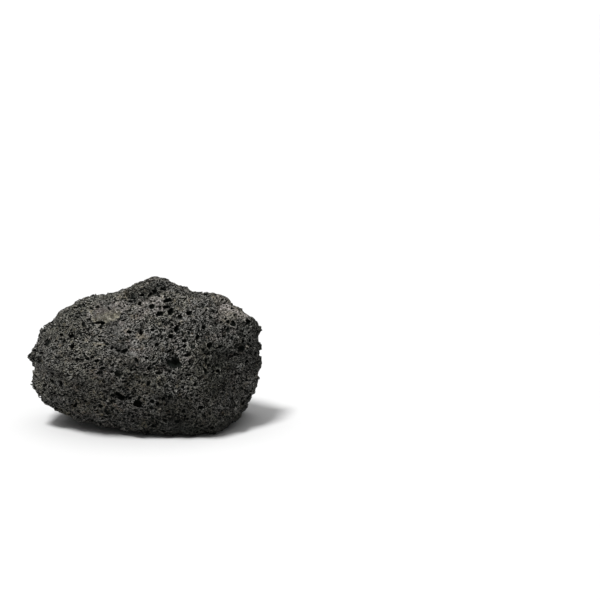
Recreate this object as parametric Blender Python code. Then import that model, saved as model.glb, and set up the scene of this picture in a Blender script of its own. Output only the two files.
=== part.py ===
"""A block of vesicular lava rock, resting on its flattest side.

Lengths are in millimetres until the mesh is placed. +X runs along the block, -Y is its
front, +Z is up, and the origin is on the ground under the middle of the block.
Directions from the block's core are written as (azimuth, elevation) in degrees:
azimuth 0 is the front, 90 the right end, 180 the back and -90 the left end.
"""

import math
import random

import bmesh
import bpy
from mathutils import Matrix, Vector, noise

MM = 0.001
NAME = "lava_rock"

# Driving dimensions.
LENGTH = 155.0
CORE_HEIGHT = 46.0
CORNER_SHARPNESS = 22.0
SKIN_SUBDIVISIONS = 6
FACES_KEPT = 0.25

# The broken faces that bound the block: direction, then distance from the core.
FACES = {
    "front slope": ((-14, 45), 47.5),
    "front slope, left": ((-46, 30), 56.0),
    "front slope, right": ((26, 48), 50.0),
    "front belly": ((8, 6), 54.5),
    "front wall": ((-4, -20), 50.0),
    "front wall, left": ((-30, -30), 55.0),
    "front wall, right": ((46, -2), 66.0),
    "front foot, right": ((34, -38), 79.0),
    "left end, front": ((-56, 6), 67.5),
    "right end": ((88, 2), 79.0),
    "right end, lower": ((82, -30), 76.5),
    "right end, upper": ((92, 53), 63.0),
    "top, right": ((98, 76), 49.0),
    "top, left": ((-100, 76), 46.5),
    "left shoulder": ((-95, 50), 56.5),
    "left end, upper": ((-92, 27), 70.0),
    "left end": ((-90, -13), 78.5),
    "left end, lower": ((-88, -38), 72.0),
    "left foot": ((-80, -56), 64.5),
    "underside, left": ((-62, -78), 48.5),
    "underside": ((-8, -88), 47.0),
    "underside, front": ((0, -62), 60.0),
    "back wall, left": ((-150, 10), 45.0),
    "back wall": ((172, -14), 49.0),
    "back wall, right": ((138, 12), 56.0),
    "back slope, left": ((-164, 44), 47.0),
    "back slope": ((158, 40), 51.0),
    "underside, back": ((180, -50), 54.0),
}

# Swellings and hollows on those faces: direction, reach along the surface, rise.
SWELLINGS = {
    "peak": ((100, 82), 10.0, 4.0),
    "valley before the peak": ((12, 60), 8.0, -3.0),
    "saddle": ((-102, 61), 13.0, -4.5),
    "dip before the right shoulder": ((106, 52), 10.0, -5.5),
    "right shoulder": ((94, 37), 6.0, 4.0),
    "nick by the right corner": ((94, 25), 5.5, -4.0),
    "right corner": ((93, 14), 7.0, 4.5),
    "left tip": ((-86, -1), 6.0, 3.0),
    "left notch": ((-95, -11), 10.0, -5.5),
    "scar lip": ((-35, 43), 6.5, 1.8),
    "brow": ((6, 10), 9.0, 1.5),
    "crease under the brow": ((4, 0), 7.0, -2.0),
    "left knob": ((-58, 3), 6.0, 2.5),
    "gap under the left knob": ((-60, -5), 5.0, -2.5),
    "hollow, lower left": ((-26, -14), 13.0, -2.5),
    "hollow by the foot": ((28, -27), 9.0, -3.0),
    "back hollow": ((-165, 12), 16.0, -4.0),
    "back bulge": ((150, -8), 14.0, 3.5),
    "back ledge": ((172, 30), 10.0, 3.0),
}

# Irregular relief laid over the form: wavelength, then height.
BROKEN_RELIEF = ((34.0, 2.0), (13.0, 1.6))

# Shallow scallops with sharp ridges between them, left where bubbles burst side by side.
SCALLOP_SPACING = 9.0
SCALLOP_HEIGHT = 2.4
SCALLOP_MEAN = 0.3

# Large burst bubbles: direction, then the half sizes along, up and into the face.
CAVITIES = {
    "front hole": ((26, 10), (3.5, 3.1, 3.6)),
    "front hole, right": ((35, 13), (2.2, 1.8, 2.6)),
    "belly hole": ((-9, 2), (1.8, 2.3, 2.6)),
    "lower hole": ((-17, -18), (3.4, 2.2, 3.2)),
    "lower hole, right": ((2, -23), (2.5, 2.2, 2.8)),
    "foot hole": ((21, -16), (2.3, 1.9, 2.6)),
    "foot hole, left": ((-28, -32), (2.4, 1.9, 2.4)),
    "left slit": ((-54, -11), (1.3, 2.5, 2.4)),
    "left hole": ((-73, 13), (2.9, 2.1, 2.8)),
    "slope hole": ((35, 30), (2.7, 2.1, 2.8)),
    "slope hole, high": ((26, 46), (2.2, 1.9, 2.6)),
    "slope hole, higher": ((40, 47), (2.3, 1.9, 2.6)),
    "slope hole, right": ((54, 39), (2.2, 1.8, 2.4)),
    "hole under the peak": ((30, 68), (3.0, 2.2, 3.0)),
    "gap under the scar": ((-39, 36), (7.0, 1.6, 3.4)),
}

# The smooth scar on the front slope: direction, half sizes, and how far the middle of the
# ball that leaves it stands out of the surface.
SCAR = ((-35, 46), (8.0, 5.8, 3.0))
SCAR_STANDS_OUT = 1.6

CAVITY_SUBDIVISIONS = 2

# Small burst bubbles: how many, how wide, how thick the walls between them stay, and how
# far their middles stand out of the surface, as a share of their radius.
BUBBLE_SEED = 7
BUBBLE_COUNT = 330
BUBBLE_RADIUS = (1.8, 3.7)
BUBBLE_WALL = 0.8
BUBBLE_STANDS_OUT = 0.12
BUBBLE_SIDES = 6
BUBBLE_RINGS = 4

BASALT_COLOUR = (0.055, 0.052, 0.048, 1.0)
BASALT_ROUGHNESS = 0.92


def direction(azimuth, elevation):
    """The unit vector that points from the core towards an azimuth and an elevation."""
    turn = math.radians(azimuth)
    rise = math.radians(elevation)
    return Vector(
        (
            math.sin(turn) * math.cos(rise),
            -math.cos(turn) * math.cos(rise),
            math.sin(rise),
        )
    )


def block_radius(heading):
    """How far the broken faces, met in round corners, let the block reach along a heading."""
    total = 0.0
    for angles, distance in FACES.values():
        facing = heading.dot(direction(*angles))
        if facing > 0.0:
            total += (facing / distance) ** CORNER_SHARPNESS
    return total ** (-1.0 / CORNER_SHARPNESS)


def relief(point):
    """The uneven height of the broken surface at a point."""
    height = 0.0
    for wavelength, rise in BROKEN_RELIEF:
        height += rise * noise.noise(point / wavelength)
    distances, _ = noise.voronoi(point / SCALLOP_SPACING)
    return height + SCALLOP_HEIGHT * (distances[0] ** 2 - SCALLOP_MEAN)


def surface_point(heading):
    """The point of the block's surface that lies along a heading."""
    radius = block_radius(heading)
    point = heading * radius
    radius += relief(point)
    for angles, reach, rise in SWELLINGS.values():
        middle = direction(*angles)
        away = (point - middle * block_radius(middle)).length
        radius += rise * math.exp(-((away / reach) ** 2))
    return heading * radius


def make_skin():
    """The block's outer form, as a ball pushed out to its faces."""
    skin = bmesh.new()
    bmesh.ops.create_icosphere(skin, subdivisions=SKIN_SUBDIVISIONS, radius=1.0)
    for vertex in skin.verts:
        vertex.co = surface_point(vertex.co.normalized())
    return skin


def placing(skin):
    """The matrix that brings the skin to its length, on the ground and about the origin, in metres."""
    ends = [vertex.co.x for vertex in skin.verts]
    sides = [vertex.co.y for vertex in skin.verts]
    grown = LENGTH / (max(ends) - min(ends))
    middle = Vector(((max(ends) + min(ends)) / 2, (max(sides) + min(sides)) / 2, -CORE_HEIGHT))
    return Matrix.Scale(grown * MM, 4) @ Matrix.Translation(-middle)


def ball_at(facing, centre, half_sizes, roll=0.0):
    """The matrix that makes a unit ball an oval one at a centre, its third axis along its facing."""
    turn = facing.to_track_quat("Z", "Y").to_matrix().to_4x4()
    rolled = Matrix.Rotation(roll, 4, "Z")
    return Matrix.Translation(centre) @ turn @ rolled @ Matrix.Diagonal((*half_sizes, 1.0))


def make_bubbles():
    """The scar and every burst bubble, none touching another, so that each leaves one pit."""
    dice = random.Random(BUBBLE_SEED)
    cutter = bmesh.new()
    angles, half_sizes = SCAR
    facing = direction(*angles)
    centre = surface_point(facing) + facing * SCAR_STANDS_OUT
    placed = ball_at(facing, centre, half_sizes)
    bmesh.ops.create_icosphere(cutter, subdivisions=CAVITY_SUBDIVISIONS, radius=1.0, matrix=placed)
    taken = [(centre, max(half_sizes))]
    for angles, half_sizes in CAVITIES.values():
        facing = direction(*angles)
        centre = surface_point(facing)
        placed = ball_at(facing, centre, half_sizes)
        bmesh.ops.create_icosphere(cutter, subdivisions=CAVITY_SUBDIVISIONS, radius=1.0, matrix=placed)
        taken.append((centre, max(half_sizes)))
    small, large = BUBBLE_RADIUS
    while len(taken) < BUBBLE_COUNT:
        facing = Vector([dice.gauss(0.0, 1.0) for _ in range(3)]).normalized()
        radius = small + (large - small) * dice.random() ** 3
        centre = surface_point(facing) + facing * radius * BUBBLE_STANDS_OUT
        if any((centre - other).length < radius + reach + BUBBLE_WALL for other, reach in taken):
            continue
        half_sizes = [radius * dice.uniform(0.8, 1.0) for _ in range(3)]
        placed = ball_at(facing, centre, half_sizes, dice.uniform(0.0, math.tau))
        bmesh.ops.create_uvsphere(
            cutter,
            u_segments=BUBBLE_SIDES,
            v_segments=BUBBLE_RINGS,
            radius=1.0,
            matrix=placed,
        )
        taken.append((centre, radius))
    return cutter


def add_object(name, shape, place):
    """Makes an object of a bmesh, brought to its place."""
    mesh = bpy.data.meshes.new(name)
    shape.transform(place)
    shape.to_mesh(mesh)
    shape.free()
    made = bpy.data.objects.new(name, mesh)
    bpy.context.scene.collection.objects.link(made)
    return made


def make_basalt():
    """Dull dark grey stone."""
    basalt = bpy.data.materials.new("vesicular_basalt")
    basalt.use_nodes = True
    shader = basalt.node_tree.nodes["Principled BSDF"]
    shader.inputs["Base Color"].default_value = BASALT_COLOUR
    shader.inputs["Roughness"].default_value = BASALT_ROUGHNESS
    shader.inputs["Metallic"].default_value = 0.0
    return basalt


def cut_away(rock, cutter):
    """Takes the cutter out of the rock, and keeps the cutter out of the model."""
    cutter.hide_render = True
    cutter.display_type = "WIRE"
    cut = rock.modifiers.new(cutter.name, "BOOLEAN")
    cut.operation = "DIFFERENCE"
    cut.solver = "EXACT"
    cut.object = cutter


def thin_out(rock):
    """Drops the faces that the rock's shape misses least."""
    thinned = rock.modifiers.new("fewer faces", "DECIMATE")
    thinned.ratio = FACES_KEPT


def main():
    for old in list(bpy.data.objects):
        bpy.data.objects.remove(old)
    skin = make_skin()
    place = placing(skin)
    rock = add_object(NAME, skin, place)
    rock.data.materials.append(make_basalt())
    cut_away(rock, add_object("bubbles", make_bubbles(), place))
    thin_out(rock)
    ground = bmesh.new()
    bmesh.ops.create_cube(ground, size=2 * LENGTH, matrix=Matrix.Translation((0.0, 0.0, -LENGTH)))
    cut_away(rock, add_object("ground", ground, Matrix.Scale(MM, 4)))


if __name__ == "__main__":
    main()
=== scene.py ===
"""The pitted surface of a lava rock, and the plain studio floor that it is shown on.

Laid out as a Blender add-on and run as a script. Lengths are in metres: +X runs along the
rock towards its right end, -Y is its front, +Z is up, and the floor is at zero.
"""

import math
import random

import bmesh
import bpy
import numpy as np
from mathutils import Matrix, Vector
from mathutils.bvhtree import BVHTree


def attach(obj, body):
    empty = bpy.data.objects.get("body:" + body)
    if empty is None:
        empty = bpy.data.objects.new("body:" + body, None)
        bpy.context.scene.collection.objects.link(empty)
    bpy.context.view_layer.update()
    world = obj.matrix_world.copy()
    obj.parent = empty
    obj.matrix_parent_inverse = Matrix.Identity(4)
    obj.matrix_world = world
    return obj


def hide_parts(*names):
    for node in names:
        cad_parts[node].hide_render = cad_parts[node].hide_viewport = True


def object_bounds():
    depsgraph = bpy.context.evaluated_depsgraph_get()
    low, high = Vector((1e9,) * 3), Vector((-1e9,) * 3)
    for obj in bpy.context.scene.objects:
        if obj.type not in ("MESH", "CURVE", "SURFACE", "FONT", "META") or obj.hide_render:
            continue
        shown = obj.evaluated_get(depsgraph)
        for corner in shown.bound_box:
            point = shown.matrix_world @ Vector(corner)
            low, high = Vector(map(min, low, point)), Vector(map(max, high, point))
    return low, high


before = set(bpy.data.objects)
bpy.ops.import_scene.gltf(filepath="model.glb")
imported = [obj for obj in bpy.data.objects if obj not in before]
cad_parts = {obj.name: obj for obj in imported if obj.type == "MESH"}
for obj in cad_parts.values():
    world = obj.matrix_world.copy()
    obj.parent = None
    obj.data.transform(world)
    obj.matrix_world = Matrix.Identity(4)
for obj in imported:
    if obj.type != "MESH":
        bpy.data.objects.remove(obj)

bl_info = {
    "name": "Lava rock",
    "version": (1, 0, 0),
    "blender": (4, 5, 0),
    "location": "3D View > Sidebar > Lava rock",
    "description": "Models the pitted surface of a lava rock, and sets it on a studio floor",
    "category": "Object",
}

CAD_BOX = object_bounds()
NODE = "lava_rock"
PIECE = "rock_surface"
MM = 0.001
UP = Vector((0.0, 0.0, 1.0))

# The finished surface has more than the first and fewer than the second of these triangles.
LEAST_FACES = 50000
MOST_FACES = 200000

# Edges that bend by fewer degrees than this are shaded smooth.
SMOOTH_ANGLE = 40.0

# Forms too slight for the solid: the middle in millimetres, how far the form reaches along and
# up the face, its lean in degrees, and how far it stands out, or sinks in, in millimetres.
FORMS = {
    "tip": ((-76.5, -5.5, 45.4), (3.4, 2.4), 0, 3.6),
    "notch under the tip": ((-70.5, -17.0, 37.0), (6.0, 4.0), 0, -4.0),
    "lower left swelling": ((-66.0, -17.0, 23.0), (9.0, 11.0), 0, 2.6),
    "block at the left": ((-57.0, -32.0, 46.5), (8.0, 4.0), -14, 2.2),
    "under the block": ((-52.0, -36.0, 40.5), (9.0, 2.6), -14, -1.8),
    "groove over the block": ((-60.0, -29.0, 52.5), (8.0, 1.8), -15, -1.2),
    "upper left corner": ((-66.0, -3.0, 65.0), (12.0, 9.0), 0, 0.9),
    "left of the peak": ((-5.0, -2.0, 94.3), (8.0, 9.0), 0, -3.4),
    "right of the peak": ((12.0, 3.0, 94.0), (7.0, 8.0), 0, 2.2),
    "top of the peak": ((3.0, 0.0, 97.0), (4.5, 7.0), 0, -1.6),
    "hollow under the peak": ((4.0, -16.5, 91.5), (13.0, 4.6), 0, -3.0),
    "shelf under the hollow": ((6.0, -26.5, 84.5), (10.0, 2.0), 12, 1.5),
    "brow of the scar": ((-23.0, -32.8, 77.6), (10.0, 1.8), 6, 1.3),
    "groove under the scar": ((-25.0, -33.9, 74.6), (11.0, 1.5), 5, -1.6),
    "knob right of the scar": ((-13.8, -26.8, 83.6), (4.0, 2.6), 20, 1.3),
    "hollow in the front": ((22.6, -48.6, 60.0), (6.0, 5.0), 0, -2.2),
    "ledge": ((3.0, -51.5, 53.4), (17.0, 1.8), -4, 1.1),
    "crease under the ledge": ((3.0, -52.5, 49.8), (18.0, 1.6), -4, -1.5),
    "hollow low at the right": ((25.8, -41.7, 15.7), (10.0, 5.0), 0, -2.0),
    "shoulder crest": ((60.0, -2.0, 78.5), (3.0, 13.0), 0, 1.8),
    "groove along the crest": ((53.0, -15.0, 74.5), (3.4, 13.0), -10, -1.6),
    "shoulder corner": ((52.0, 2.0, 83.0), (6.0, 9.0), -20, 1.6),
    "groove under the shoulder": ((65.2, -20.5, 65.0), (2.6, 9.5), -20, -2.8),
    "block at the right": ((71.2, -16.6, 60.1), (3.6, 9.0), -15, 1.0),
    "lower right crater": ((64.3, -25.0, 54.9), (4.0, 3.4), 0, -1.8),
    "left lower swelling": ((-38.0, -44.0, 44.0), (12.0, 9.0), 0, 1.0),
    "left lower hollow": ((-26.0, -46.0, 34.0), (12.0, 5.0), -10, -1.4),
    "right wall swelling": ((45.0, -44.0, 42.0), (9.0, 12.0), 0, 0.9),
    "right slope hollow": ((36.0, -40.0, 64.0), (10.0, 3.0), 10, -1.2),
}

# The scar: a smooth plate where a flake came off, its lower edge standing proud of the wall.
# Its middle and half sizes in millimetres, and the way it faces: degrees right of the front,
# and degrees up.
SCAR_MIDDLE = (-22.3, -30.0, 81.6)
SCAR_HALF = (10.2, 6.6)
SCAR_FACING = (-19.0, 50.0)
SCAR_LEAN = 9.0

# How deep in millimetres the scar's frame reaches into the stone, and what counts as outside it.
SCAR_DEPTH = 8.0
OUTSIDE = 9.0

# The waves of the scar's edge: height as a share, waves around, and where they start.
SCAR_EDGE = ((0.06, 3.0, 1.0), (0.05, 7.0, 0.0), (0.03, 13.0, 0.0))

# How far in millimetres the plate is lifted: all over, more towards the lower edge, and less
# towards the ends. Then the share of the crumbs that the plate is free of.
SCAR_LIFT = (0.05, 0.65, 0.25)
SCAR_CALM = 0.75

# Where the stone has its own colour: the middle in millimetres, the reach along and up the
# face, the lean in degrees, and how strong the colour is.
TAN_PATCHES = {
    "shoulder streak": ((60.0, -6.0, 77.5), (5.0, 14.0), -27, 0.9),
    "shoulder top": ((48.0, 0.0, 84.0), (10.0, 5.0), 0, 0.8),
    "shoulder front": ((54.0, -13.0, 76.5), (7.0, 10.0), -20, 0.75),
    "spot": ((2.2, -43.6, 69.6), (4.0, 3.2), 0, 1.1),
    "left end": ((-66.0, -22.0, 40.0), (6.0, 9.0), 0, 0.35),
    "slope left of the peak": ((-10.0, -19.4, 89.9), (5.0, 2.6), 20, 0.7),
    "right of the scar": ((-14.0, -22.5, 87.0), (7.0, 2.5), 10, 0.5),
    "band on the belly": ((-10.0, -51.0, 56.0), (16.0, 3.0), 0, 0.35),
    "right wall": ((41.0, -38.0, 60.0), (7.0, 3.0), 40, 0.4),
}
PALE_PATCHES = {
    "shelf": ((6.0, -25.5, 85.4), (11.5, 4.0), 14, 1.0),
    "right of the scar": ((-12.0, -26.0, 84.6), (8.5, 5.4), 15, 1.1),
    "end of the scar": ((-33.4, -25.6, 78.9), (5.0, 1.5), -45, 1.3),
    "top of the scar": ((-17.0, -26.0, 84.0), (5.0, 2.4), -20, 0.8),
    "upper right slope": ((34.0, -22.0, 80.0), (17.0, 10.0), 15, 0.12),
    "left slope": ((-8.0, -38.0, 73.0), (16.0, 5.0), 0, 0.2),
    "left end": ((-58.0, -22.0, 50.0), (20.0, 20.0), 0, 0.05),
    "speck": ((6.6, -42.0, 71.0), (1.3, 1.3), 0, 1.8),
    "belly": ((0.0, -49.0, 62.0), (20.0, 4.5), 0, 0.36),
    "shoulder": ((59.5, -8.0, 76.8), (4.2, 13.0), -27, 1.6),
    "shoulder front": ((54.0, -12.0, 77.0), (5.0, 8.0), -20, 0.6),
    "shoulder top": ((48.0, 0.0, 84.0), (9.0, 3.0), 0, 0.6),
}
# Where the skin is less broken than elsewhere, as shares of the same kind.
CALM_PATCHES = {
    "peak": ((4.0, 0.0, 96.0), (20.0, 14.0), 0, 0.5),
    "upper left": ((-50.0, -8.0, 76.0), (22.0, 14.0), 0, 0.35),
}

# Where shade is painted on the stone, which makes it darker than elsewhere: at the ends, the peak, the
# groove and the right wall, as shares of the same kind.
PAINTED_SHADE_PATCHES = {
    "upper left": ((-48.0, -16.0, 72.0), (24.0, 14.0), 0, 0.5),
    "left": ((-60.0, -20.0, 50.0), (26.0, 28.0), 0, 0.42),
    "right slope, high": ((40.0, -14.0, 82.0), (22.0, 12.0), 10, 0.17),
    "peak": ((5.0, -12.0, 93.0), (18.0, 8.0), 0, 0.95),
    "groove at the right": ((65.2, -20.5, 64.0), (3.6, 11.0), -20, 1.0),
    "right end": ((69.0, -8.0, 54.0), (24.0, 26.0), 0, 0.75),
    "right wall": ((48.0, -38.0, 46.0), (20.0, 21.0), 0, 1.0),
    "lower right": ((26.0, -44.0, 19.0), (26.0, 12.0), 0, 0.6),
    "right slope": ((44.0, -28.0, 70.0), (14.0, 9.0), 20, 0.28),
}

# From which share of its reach a patch fades, and at which it is gone.
PATCH_EDGE = (0.55, 1.15)

# Where the pores are wider than elsewhere, as shares of the same kind.
WIDE_PATCHES = {
    "hollow under the peak": ((5.0, -14.0, 92.0), (14.0, 7.0), 0, 0.55),
    "over the belly": ((20.0, -36.0, 73.0), (14.0, 8.0), 20, 0.6),
    "ledge": ((4.0, -51.0, 47.0), (22.0, 5.0), -4, 0.7),
    "low": ((-4.0, -45.0, 28.0), (22.0, 7.0), -6, 0.8),
    "right": ((60.0, -24.0, 62.0), (9.0, 13.0), 0, 0.6),
    "foot": ((14.0, -44.0, 16.0), (26.0, 5.0), 0, 0.6),
}

# Holes wide enough to be seen one by one: the middle of the mouth in millimetres, then the
# half sizes in millimetres along, up and into the face, and the lean of the mouth in degrees.
HOLES = {
    "front": ((24.0, -50.0, 56.0), (2.9, 3.0, 3.8), 12),
    "front, over": ((21.7, -48.6, 60.6), (1.7, 0.7, 2.0), 20),
    "front, right": ((32.6, -47.4, 57.8), (2.1, 1.1, 2.4), 12),
    "belly": ((-9.7, -52.1, 47.5), (1.5, 2.2, 2.6), 25),
    "belly, right": ((13.9, -50.6, 48.4), (1.7, 1.0, 2.0), 5),
    "belly, middle": ((5.5, -48.9, 44.2), (1.4, 1.0, 2.0), 10),
    "belly, left": ((-22.1, -52.8, 49.6), (1.6, 1.1, 2.0), 0),
    "belly, low": ((16.6, -50.2, 41.8), (1.2, 0.9, 1.8), 20),
    "ledge": ((-0.1, -53.1, 51.6), (2.4, 1.0, 2.2), -5),
    "low": ((-14.4, -43.5, 30.5), (3.3, 1.9, 3.2), -18),
    "low, right": ((0.4, -46.2, 25.8), (2.3, 1.9, 2.8), 0),
    "low, far right": ((17.7, -48.3, 29.8), (2.4, 1.4, 2.6), 12),
    "foot": ((7.6, -46.3, 23.0), (1.4, 1.1, 2.0), 0),
    "foot, right": ((39.5, -45.2, 22.0), (1.6, 1.2, 2.2), 0),
    "foot, left": ((-21.8, -38.1, 18.6), (2.3, 1.4, 2.4), 0),
    "foot, far left": ((-26.7, -38.8, 22.1), (1.7, 1.0, 2.0), 0),
    "left slit": ((-51.1, -35.7, 33.9), (1.0, 2.2, 2.4), 6),
    "left, low": ((-54.3, -30.9, 26.1), (1.4, 1.2, 2.0), 0),
    "left, high": ((-60.4, -17.2, 60.3), (3.0, 1.6, 2.8), 10),
    "left, over": ((-49.0, -29.4, 63.6), (1.4, 1.0, 1.8), 0),
    "left, middle": ((-42.3, -38.1, 61.4), (1.3, 1.5, 2.0), 0),
    "left, belly": ((-31.9, -50.0, 56.0), (1.7, 1.0, 2.0), 0),
    "left, belly, over": ((-27.8, -50.7, 57.6), (1.2, 0.9, 1.6), 20),
    "left, wall": ((-38.0, -46.1, 53.0), (1.4, 1.0, 1.8), 0),
    "left, under": ((-45.1, -44.1, 43.7), (1.5, 1.1, 1.9), 0),
    "gap under the scar": ((-25.4, -33.2, 75.6), (4.6, 0.7, 2.6), 3),
    "gap, right": ((-22.4, -34.2, 74.4), (1.9, 0.8, 2.2), 15),
    "gap, middle": ((-30.3, -31.4, 74.0), (1.5, 1.3, 2.6), 0),
    "gap, left": ((-35.7, -29.3, 75.5), (2.2, 0.8, 2.2), -4),
    "over the scar": ((-27.4, -23.3, 83.7), (1.5, 0.8, 1.6), -10),
    "over the scar, right": ((-19.9, -26.0, 83.4), (1.6, 0.6, 1.4), -30),
    "slope": ((25.1, -36.3, 72.4), (2.2, 1.6, 2.8), 25),
    "slope, low": ((13.2, -46.3, 65.6), (1.3, 1.0, 1.8), 20),
    "slope, low, right": ((34.7, -42.0, 63.2), (2.3, 1.0, 2.2), 30),
    "slope, left": ((-5.2, -40.5, 71.1), (1.3, 0.9, 1.8), 0),
    "slope, middle": ((9.6, -40.9, 72.9), (1.2, 1.0, 1.8), 30),
    "slope, next": ((14.3, -39.5, 71.8), (1.3, 1.0, 1.8), 0),
    "slope, over": ((21.1, -36.3, 74.6), (1.1, 0.8, 1.6), 0),
    "slope, high": ((13.2, -30.1, 79.8), (2.2, 1.4, 2.6), 8),
    "slope, higher": ((20.3, -26.5, 81.6), (2.4, 1.6, 2.6), 10),
    "slope, highest": ((16.7, -25.9, 84.1), (1.8, 1.0, 2.0), 0),
    "slope, right": ((31.8, -23.7, 79.6), (1.8, 1.5, 2.4), 15),
    "slope, far right": ((41.0, -28.7, 70.9), (1.2, 1.5, 2.0), 15),
    "slope, under": ((38.3, -36.6, 66.9), (1.6, 1.3, 2.0), 20),
    "right, over": ((54.3, -26.8, 66.5), (1.4, 1.3, 2.0), 0),
    "right": ((59.1, -19.2, 71.4), (1.3, 1.7, 2.2), 0),
    "right, high": ((67.9, -12.6, 71.2), (1.9, 1.4, 2.2), 0),
    "right, middle": ((65.6, -22.0, 64.1), (1.4, 2.2, 2.4), 0),
    "right, low": ((64.3, -25.0, 54.9), (2.6, 1.4, 2.4), 0),
    "right, belly": ((45.2, -36.6, 61.7), (1.6, 1.5, 2.2), 20),
    "right, belly, low": ((51.4, -34.5, 59.9), (2.0, 1.0, 2.2), 0),
    "right, wall": ((43.1, -46.0, 46.5), (1.1, 1.8, 2.2), 10),
    "right, wall, over": ((43.5, -43.7, 53.7), (1.1, 1.4, 1.8), 0),
    "peak": ((8.6, -12.6, 92.4), (1.5, 1.1, 1.7), 0),
    "peak, left": ((6.1, -8.9, 94.3), (1.0, 0.7, 1.2), 0),
    "peak, right": ((13.9, -8.6, 92.3), (1.8, 1.2, 1.9), -20),
    "peak, under": ((10.5, -19.5, 90.5), (1.9, 1.3, 1.9), 10),
    "peak, under, left": ((4.5, -18.4, 91.0), (1.7, 1.1, 1.8), 0),
    "peak, far left": ((-3.8, -17.8, 91.3), (1.8, 1.1, 1.6), 30),
    "peak, farther left": ((-6.7, -20.8, 89.0), (1.5, 0.9, 1.6), 0),
    "peak, low": ((0.4, -24.2, 85.8), (1.8, 1.2, 2.2), 0),
    "peak, low, right": ((17.2, -22.0, 87.1), (2.2, 1.3, 2.4), 0),
}

# The balls that pores are cut with: sides, rings and unevenness, for fine to wide pores, and
# the reach in metres past which the next ball is taken.
BALLS = ((7, 4, 0.10), (9, 6, 0.12), (14, 10, 0.08))
BALL_LIMITS = (0.0009, 0.0017)
BALLS_OF_A_KIND = 8

# How much wider and deeper a placed hole is cut than its table says, how far its middle sinks
# in as a share of its depth, and from what half width in millimetres it has most satellites.
HOLE_SCALE = 1.3
HOLE_SINK = 0.2
WIDE_HOLE = 2.0

# Limits of a chance pore's radius in metres, in the open and in the scar, and the share of
# the scar's pores that are left out.
PORE_LIMITS = (0.00045, 0.0019)
SCAR_PORE_LIMIT = 0.0005
SCAR_PORES_SKIPPED = 0.85

# The pores' stretch, from least to most, then their lean in degrees, usual and spread: for the
# pores that lean and the pores that lie level.
LEANING = ((1.0, 1.6), (24.0, 16.0))
LYING = ((1.1, 2.3), (4.0, 12.0))

# The line past which pores lean crosses the middle at this height in metres, and slopes to the
# left by this much for each metre up.
LEAN_LINE_HEIGHT = 0.05
LEAN_LINE_SLOPE = 0.6

# The sizes of the bubbles that run together with a placed hole, as shares of it.
SATELLITE_SHARES = (0.42, 0.62)

# The sides of the boxes in metres that sort pores by place, to find the ones near by.
PORE_CELL = 0.004
CUT_CELL = 0.009

# The broken skin, coarse to fine: which setting gives the width, then the tilt of a facet,
# its step, what is added to the seed, and the weight.
SKIN_BREAKS = (
    ("block_width", 0.12, 0.03, 2, 1.0),
    ("lump_width", 0.20, 0.09, 0, 1.0),
    ("crumb_width", 0.34, 0.16, 1, 0.85),
)

# Where the painted pit shade, the rims' wear and painted highlight, and the dust start and are full: depths
# in metres under the skin, bends in radians between faces, and how far the skin faces up. Then the height in
# metres of the painted shade at the foot.
PIT_DEPTHS = (0.00003, 0.00045)
DEEP_DEPTHS = (0.0014, 0.0030)
RIM_BENDS = (0.10, 0.50)
DUST_RISES = (0.05, 0.85)
FOOT_SHADE_HEIGHT = 0.030

# Soft noises of the stone's tone: width in metres, detail, roughness and weight.
TONE_NOISES = {
    "mottle": (0.0048, 3.0, 0.6, 0.6),
    "grain": (0.0010, 4.0, 0.85, 1.2),
    "patchy": (0.011, 3.0, 0.6, 0.9),
}

# Tints that come and go over the stone: the width of a cloud in metres, its detail, where it
# starts and is full, the tint that the stone is multiplied by, and the strength.
TINTS = {
    "olive": (0.026, 3.0, 0.44, 0.60, (1.06, 1.03, 0.74), 0.8),
    "rosy": (0.009, 3.0, 0.52, 0.66, (1.20, 0.98, 1.0), 0.8),
    "warm": (0.0042, 2.0, 0.54, 0.66, (1.28, 1.08, 0.72), 0.8),
    "cool": (0.0060, 2.0, 0.46, 0.34, (0.86, 0.97, 1.08), 0.7),
}

# Fine pores of the finish: width in metres, and the least and most share of it that is open.
FINE_PORES = ((0.00135, (0.28, 0.55)), (0.00095, (0.26, 0.54)))
LEANING_PORES = (math.radians(27.0), (0.78, 1.0, 1.15))
LYING_PORES = (0.0, (0.62, 0.9, 1.35))

# Colours of the finish, as linear red, green and blue. The pore, pit, deep and foot colours are painted
# shade, and the lip and rim colours are painted highlight, the rims' partly wear.
DUST_COLOUR = (0.160, 0.150, 0.134)
SCAR_GRAIN_COLOUR = (0.020, 0.017, 0.014)
SCAR_LIP_HIGHLIGHT_COLOUR = (0.48, 0.45, 0.35)
RIM_WEAR_AND_HIGHLIGHT_COLOUR = (0.30, 0.29, 0.27)
PORE_LIP_HIGHLIGHT_COLOUR = (0.34, 0.33, 0.305)
PORE_SHADE_COLOUR = (0.004, 0.005, 0.004)
RUST_COLOUR = (0.100, 0.058, 0.026)
SHADE_TINT = (0.45, 0.46, 0.45)
PIT_SHADE_COLOUR = (0.004, 0.006, 0.005)
DEEP_SHADE_COLOUR = (0.006, 0.008, 0.006)
FOOT_SHADE_COLOUR = (0.010, 0.012, 0.011)

# The studio lights: from where each shines, its strength, and how wide it looks in degrees.
LIGHTS = {
    "softbox_left": ((-0.25, -0.33, 0.91), 4.3, 14.0),
    "softbox_above": ((-0.05, -0.10, 1.0), 1.65, 80.0),
}
FLOOR_WIDTH = 60.0
SENSOR_WIDTH = 36.0


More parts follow.
